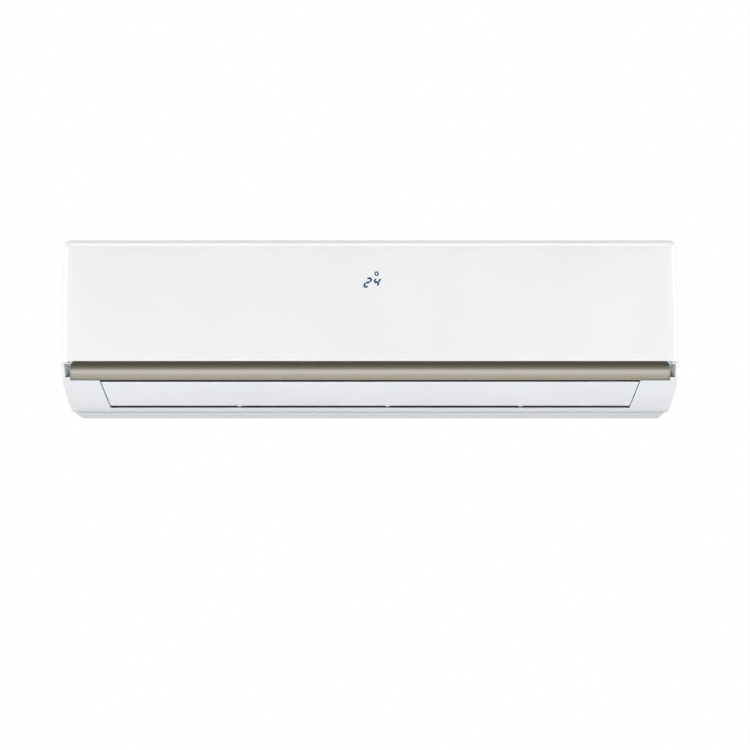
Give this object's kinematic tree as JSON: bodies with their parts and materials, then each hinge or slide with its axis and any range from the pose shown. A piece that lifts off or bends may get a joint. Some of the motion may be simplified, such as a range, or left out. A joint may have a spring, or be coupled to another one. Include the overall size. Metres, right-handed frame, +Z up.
{
  "type": "wall-mounted air conditioner indoor unit",
  "caption": "Wall-hung split air conditioner indoor unit with a hinged front panel, swinging louver, turning vanes, cross-flow fan, lift-out filters and mounting plate.",
  "frame": {"origin": "middle of the unit's back on the wall plane, at half its height and length, and the centre of the wall screw pattern", "axes": "+X to the right seen from the room, +Y into the wall, +Z up"},
  "size_m": [0.94, 0.2042, 0.275],
  "materials": {
    "aluminium_fin": "mill",
    "black_plastic": "matt",
    "board_green": "lacquered",
    "brass": "turned",
    "bronze_trim": "metallic lacquer",
    "casing_grey": "satin",
    "casing_white": "satin",
    "copper": "drawn copper",
    "fan_plastic": "matt",
    "filter_frame": "matt",
    "filter_net": "woven",
    "panel_white": "gloss",
    "rubber": "matt",
    "steel": "bright",
    "zinc_steel": "zinc coated"
  },
  "bodies": {
    "casing": {"bearing_mount": "rubber", "case_screws": "steel", "circuit_board": "board_green", "control_box": "black_plastic", "control_box_lid": "black_plastic", "display_board": "board_green", "display_housing": "casing_white", "drain_pan": "casing_grey", "end_plates": "zinc_steel", "fan_bearing": "steel", "fan_motor": "steel", "fins_lower": "aluminium_fin", "fins_rear": "aluminium_fin", "fins_upper": "aluminium_fin", "front_case": "casing_white", "gas_pipe": "copper", "liquid_pipe": "copper", "louver_brackets": "casing_white", "louver_motor": "steel", "motor_strap": "zinc_steel", "mounting_plate": "zinc_steel", "outlet_guide": "casing_grey", "pipe_clamp": "black_plastic", "pipe_unions": "brass", "rear_chassis": "casing_grey", "return_bends": "copper", "terminal_block": "black_plastic", "top_grille": "casing_white"},
    "panel": {"front_panel": "panel_white", "trim_strip": "bronze_trim"},
    "louver": {"louver": "casing_white", "louver_coupling": "black_plastic"},
    "fan": {"fan_wheel": "fan_plastic", "fan_hub": "rubber", "fan_shaft": "steel"},
    "filter_left": {"filter_frame_left": "filter_frame", "filter_net_left": "filter_net"},
    "filter_right": {"filter_frame_right": "filter_frame", "filter_net_right": "filter_net"},
    "button": {"manual_button": "casing_white"},
    "vane_left_1": {"vane_left_1": "casing_grey"},
    "vane_left_2": {"vane_left_2": "casing_grey"},
    "vane_left_3": {"vane_left_3": "casing_grey"},
    "vane_left_4": {"vane_left_4": "casing_grey"},
    "vane_left_5": {"vane_left_5": "casing_grey"},
    "vane_rod_left": {"vane_rod_left": "casing_grey"},
    "vane_right_1": {"vane_right_1": "casing_grey"},
    "vane_right_2": {"vane_right_2": "casing_grey"},
    "vane_right_3": {"vane_right_3": "casing_grey"},
    "vane_right_4": {"vane_right_4": "casing_grey"},
    "vane_right_5": {"vane_right_5": "casing_grey"},
    "vane_rod_right": {"vane_rod_right": "casing_grey"}
  },
  "joints": [
    {"name": "panel_hinge", "type": "hinge", "parent": "casing", "child": "panel", "pos_m": [0, -0.15072, 0.1331], "axis": [-1, 0, 0], "range_deg": [0, 60]},
    {"name": "louver_hinge", "type": "hinge", "parent": "casing", "child": "louver", "pos_m": [0, -0.133, -0.1129], "axis": [1, 0, 0], "range_deg": [0, 60]},
    {"name": "fan_spin", "type": "hinge", "parent": "casing", "child": "fan", "pos_m": [0, -0.078, -0.0195], "axis": [1, 0, 0], "continuous": true},
    {"name": "filter_left_lift", "type": "slide", "parent": "casing", "child": "filter_left", "axis": [0, 0.1515, 0.9885], "range_m": [0, 0.008]},
    {"name": "filter_right_lift", "type": "slide", "parent": "casing", "child": "filter_right", "axis": [0, 0.1515, 0.9885], "range_m": [0, 0.008]},
    {"name": "button_press", "type": "slide", "parent": "casing", "child": "button", "axis": [0, 1, 0], "range_m": [0, 0.0015], "stiffness_N_per_m": 600, "springref_m": -0.001},
    {"name": "vane_left_1_turn", "type": "hinge", "parent": "casing", "child": "vane_left_1", "pos_m": [-0.362, -0.07795, -0.09715], "axis": [0, -0.5488, 0.836], "range_deg": [-30, 30]},
    {"name": "vane_left_2_turn", "type": "hinge", "parent": "casing", "child": "vane_left_2", "pos_m": [-0.288, -0.07795, -0.09715], "axis": [0, -0.5488, 0.836], "range_deg": [-30, 30]},
    {"name": "vane_left_3_turn", "type": "hinge", "parent": "casing", "child": "vane_left_3", "pos_m": [-0.214, -0.07795, -0.09715], "axis": [0, -0.5488, 0.836], "range_deg": [-30, 30]},
    {"name": "vane_left_4_turn", "type": "hinge", "parent": "casing", "child": "vane_left_4", "pos_m": [-0.14, -0.07795, -0.09715], "axis": [0, -0.5488, 0.836], "range_deg": [-30, 30]},
    {"name": "vane_left_5_turn", "type": "hinge", "parent": "casing", "child": "vane_left_5", "pos_m": [-0.066, -0.07795, -0.09715], "axis": [0, -0.5488, 0.836], "range_deg": [-30, 30]},
    {"name": "vane_rod_left_turn", "type": "hinge", "parent": "vane_left_1", "child": "vane_rod_left", "pos_m": [-0.362, -0.12049, -0.07244], "axis": [0, -0.5488, 0.836], "range_deg": [-30, 30]},
    {"name": "vane_right_1_turn", "type": "hinge", "parent": "casing", "child": "vane_right_1", "pos_m": [0.008, -0.07795, -0.09715], "axis": [0, -0.5488, 0.836], "range_deg": [-30, 30]},
    {"name": "vane_right_2_turn", "type": "hinge", "parent": "casing", "child": "vane_right_2", "pos_m": [0.082, -0.07795, -0.09715], "axis": [0, -0.5488, 0.836], "range_deg": [-30, 30]},
    {"name": "vane_right_3_turn", "type": "hinge", "parent": "casing", "child": "vane_right_3", "pos_m": [0.156, -0.07795, -0.09715], "axis": [0, -0.5488, 0.836], "range_deg": [-30, 30]},
    {"name": "vane_right_4_turn", "type": "hinge", "parent": "casing", "child": "vane_right_4", "pos_m": [0.23, -0.07795, -0.09715], "axis": [0, -0.5488, 0.836], "range_deg": [-30, 30]},
    {"name": "vane_right_5_turn", "type": "hinge", "parent": "casing", "child": "vane_right_5", "pos_m": [0.304, -0.07795, -0.09715], "axis": [0, -0.5488, 0.836], "range_deg": [-30, 30]},
    {"name": "vane_rod_right_turn", "type": "hinge", "parent": "vane_right_1", "child": "vane_rod_right", "pos_m": [0.008, -0.12049, -0.07244], "axis": [0, -0.5488, 0.836], "range_deg": [-30, 30]}
  ],
  "couplings": [
    {"joint": "vane_left_2_turn", "follows": "vane_left_1_turn", "ratio": 1},
    {"joint": "vane_left_3_turn", "follows": "vane_left_1_turn", "ratio": 1},
    {"joint": "vane_left_4_turn", "follows": "vane_left_1_turn", "ratio": 1},
    {"joint": "vane_left_5_turn", "follows": "vane_left_1_turn", "ratio": 1},
    {"joint": "vane_rod_left_turn", "follows": "vane_left_1_turn", "ratio": -1},
    {"joint": "vane_right_2_turn", "follows": "vane_right_1_turn", "ratio": 1},
    {"joint": "vane_right_3_turn", "follows": "vane_right_1_turn", "ratio": 1},
    {"joint": "vane_right_4_turn", "follows": "vane_right_1_turn", "ratio": 1},
    {"joint": "vane_right_5_turn", "follows": "vane_right_1_turn", "ratio": 1},
    {"joint": "vane_rod_right_turn", "follows": "vane_right_1_turn", "ratio": -1}
  ]
}
